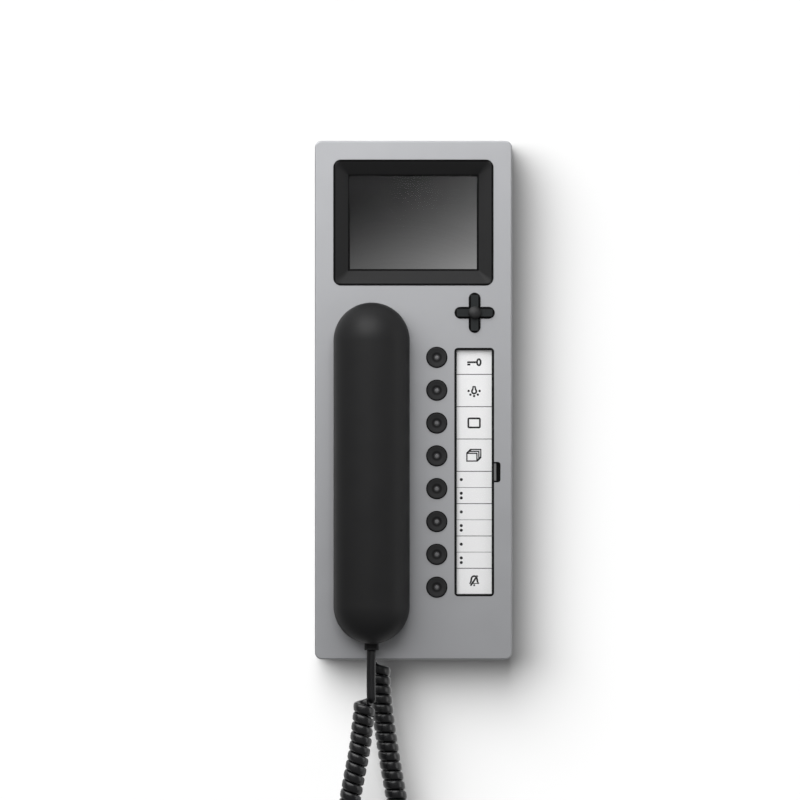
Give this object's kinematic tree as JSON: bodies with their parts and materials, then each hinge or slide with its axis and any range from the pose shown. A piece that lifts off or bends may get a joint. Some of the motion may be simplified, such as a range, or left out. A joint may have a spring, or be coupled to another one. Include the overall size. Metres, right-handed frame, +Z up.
{
  "type": "wall intercom station with handset",
  "caption": "Wall intercom station with a recessed display, push keys, a cross key, a hinged label cover and a lift-off handset on a curly cord.",
  "frame": {"origin": "centre of the mounting plate's rear face, which lies on the wall", "axes": "+Z up, +Y into the wall, +X to the right as seen from the room"},
  "size_m": [0.102, 0.058, 0.4545],
  "materials": {
    "shell_paint": "silver-grey satin paint",
    "black_plastic": "black satin plastic",
    "inner_plastic": "dark grey moulded plastic",
    "plate_plastic": "grey moulded plastic",
    "clear": "clear, polished",
    "panel": "dark display glass",
    "steel": "zinc-plated steel",
    "board": "green solder mask",
    "rubber": "grey silicone rubber",
    "card": "white printed card",
    "nub": "translucent grey light pin",
    "foam": "black foam",
    "cord": "black satin cord jacket"
  },
  "bodies": {
    "housing": {"mounting_plate": "plate_plastic", "front_shell": "shell_paint", "shell_screw": "steel", "display_bezel": "black_plastic", "display_window": "clear", "lcd_panel": "panel", "lcd_frame": "steel", "display_screws": "steel", "main_pcb": "board", "chips": "inner_plastic", "capacitors": "inner_plastic", "terminal_block": "inner_plastic", "terminal_screws": "steel", "board_screws": "steel", "key_pcb": "board", "key_leds": "card", "key_mat": "rubber", "flat_cable": "card", "loudspeaker": "inner_plastic", "speaker_gasket": "foam", "hook_switch": "inner_plastic", "hook_spring": "steel", "strike_plate": "steel", "handset_jack": "inner_plastic", "label_tray": "black_plastic", "label_card": "card", "cord_plug": "clear", "cord_lead": "cord", "curly_cord": "cord"},
    "handset": {"handset_front": "black_plastic", "handset_back": "black_plastic", "receiver_capsule": "steel", "receiver_foam": "foam", "microphone_capsule": "steel", "microphone_boot": "rubber", "handset_magnet": "steel", "handset_screws": "steel", "cord_gland": "rubber"},
    "plunger": {"hook_plunger": "black_plastic"},
    "key_1": {"key_1": "black_plastic", "key_1_lens": "nub"},
    "key_2": {"key_2": "black_plastic", "key_2_lens": "nub"},
    "key_3": {"key_3": "black_plastic", "key_3_lens": "nub"},
    "key_4": {"key_4": "black_plastic", "key_4_lens": "nub"},
    "key_5": {"key_5": "black_plastic", "key_5_lens": "nub"},
    "key_6": {"key_6": "black_plastic", "key_6_lens": "nub"},
    "key_7": {"key_7": "black_plastic", "key_7_lens": "nub"},
    "key_8": {"key_8": "black_plastic", "key_8_lens": "nub"},
    "cross_bushing": {"nav_bushing": "plate_plastic"},
    "cross_rocker": {"nav_cross": "black_plastic"},
    "centre_button": {"nav_centre": "black_plastic"},
    "label_cover": {"label_frame": "black_plastic", "label_window": "clear"}
  },
  "joints": [
    {"name": "handset_lift", "type": "slide", "parent": "housing", "child": "handset", "axis": [0, -1, 0], "range_m": [0, 0.05]},
    {"name": "cradle_press", "type": "slide", "parent": "housing", "child": "plunger", "axis": [0, -1, 0], "range_m": [0, 0.004], "deforming": ["hook_spring"]},
    {"name": "key_1_press", "type": "slide", "parent": "housing", "child": "key_1", "axis": [0, 1, 0], "range_m": [0, 0.0008], "stiffness_N_per_m": 1500, "springref_m": -0.0003, "deforming": ["key_mat"]},
    {"name": "key_2_press", "type": "slide", "parent": "housing", "child": "key_2", "axis": [0, 1, 0], "range_m": [0, 0.0008], "stiffness_N_per_m": 1500, "springref_m": -0.0003, "deforming": ["key_mat"]},
    {"name": "key_3_press", "type": "slide", "parent": "housing", "child": "key_3", "axis": [0, 1, 0], "range_m": [0, 0.0008], "stiffness_N_per_m": 1500, "springref_m": -0.0003, "deforming": ["key_mat"]},
    {"name": "key_4_press", "type": "slide", "parent": "housing", "child": "key_4", "axis": [0, 1, 0], "range_m": [0, 0.0008], "stiffness_N_per_m": 1500, "springref_m": -0.0003, "deforming": ["key_mat"]},
    {"name": "key_5_press", "type": "slide", "parent": "housing", "child": "key_5", "axis": [0, 1, 0], "range_m": [0, 0.0008], "stiffness_N_per_m": 1500, "springref_m": -0.0003, "deforming": ["key_mat"]},
    {"name": "key_6_press", "type": "slide", "parent": "housing", "child": "key_6", "axis": [0, 1, 0], "range_m": [0, 0.0008], "stiffness_N_per_m": 1500, "springref_m": -0.0003, "deforming": ["key_mat"]},
    {"name": "key_7_press", "type": "slide", "parent": "housing", "child": "key_7", "axis": [0, 1, 0], "range_m": [0, 0.0008], "stiffness_N_per_m": 1500, "springref_m": -0.0003, "deforming": ["key_mat"]},
    {"name": "key_8_press", "type": "slide", "parent": "housing", "child": "key_8", "axis": [0, 1, 0], "range_m": [0, 0.0008], "stiffness_N_per_m": 1500, "springref_m": -0.0003, "deforming": ["key_mat"]},
    {"name": "cross_up_down", "type": "hinge", "parent": "housing", "child": "cross_bushing", "pos_m": [0.0317, -0.0266, 0.0452], "axis": [1, 0, 0], "range_deg": [-3, 3], "stiffness_Nm_per_rad": 0.3, "deforming": ["key_mat"]},
    {"name": "cross_left_right", "type": "hinge", "parent": "cross_bushing", "child": "cross_rocker", "pos_m": [0.0317, -0.0266, 0.0452], "axis": [0, 0, 1], "range_deg": [-3, 3], "stiffness_Nm_per_rad": 0.3, "deforming": ["key_mat"]},
    {"name": "centre_press", "type": "slide", "parent": "cross_rocker", "child": "centre_button", "axis": [0, 1, 0], "range_m": [0, 0.0005], "stiffness_N_per_m": 2000, "springref_m": -0.0002, "deforming": ["key_mat"]},
    {"name": "label_cover_open", "type": "hinge", "parent": "housing", "child": "label_cover", "pos_m": [0.02135, -0.031, -0.0373], "axis": [0, 0, -1], "range_deg": [0, 95]}
  ],
  "couplings": [
    {"joint": "cradle_press", "follows": "handset_lift", "ratio": 0.08}
  ]
}
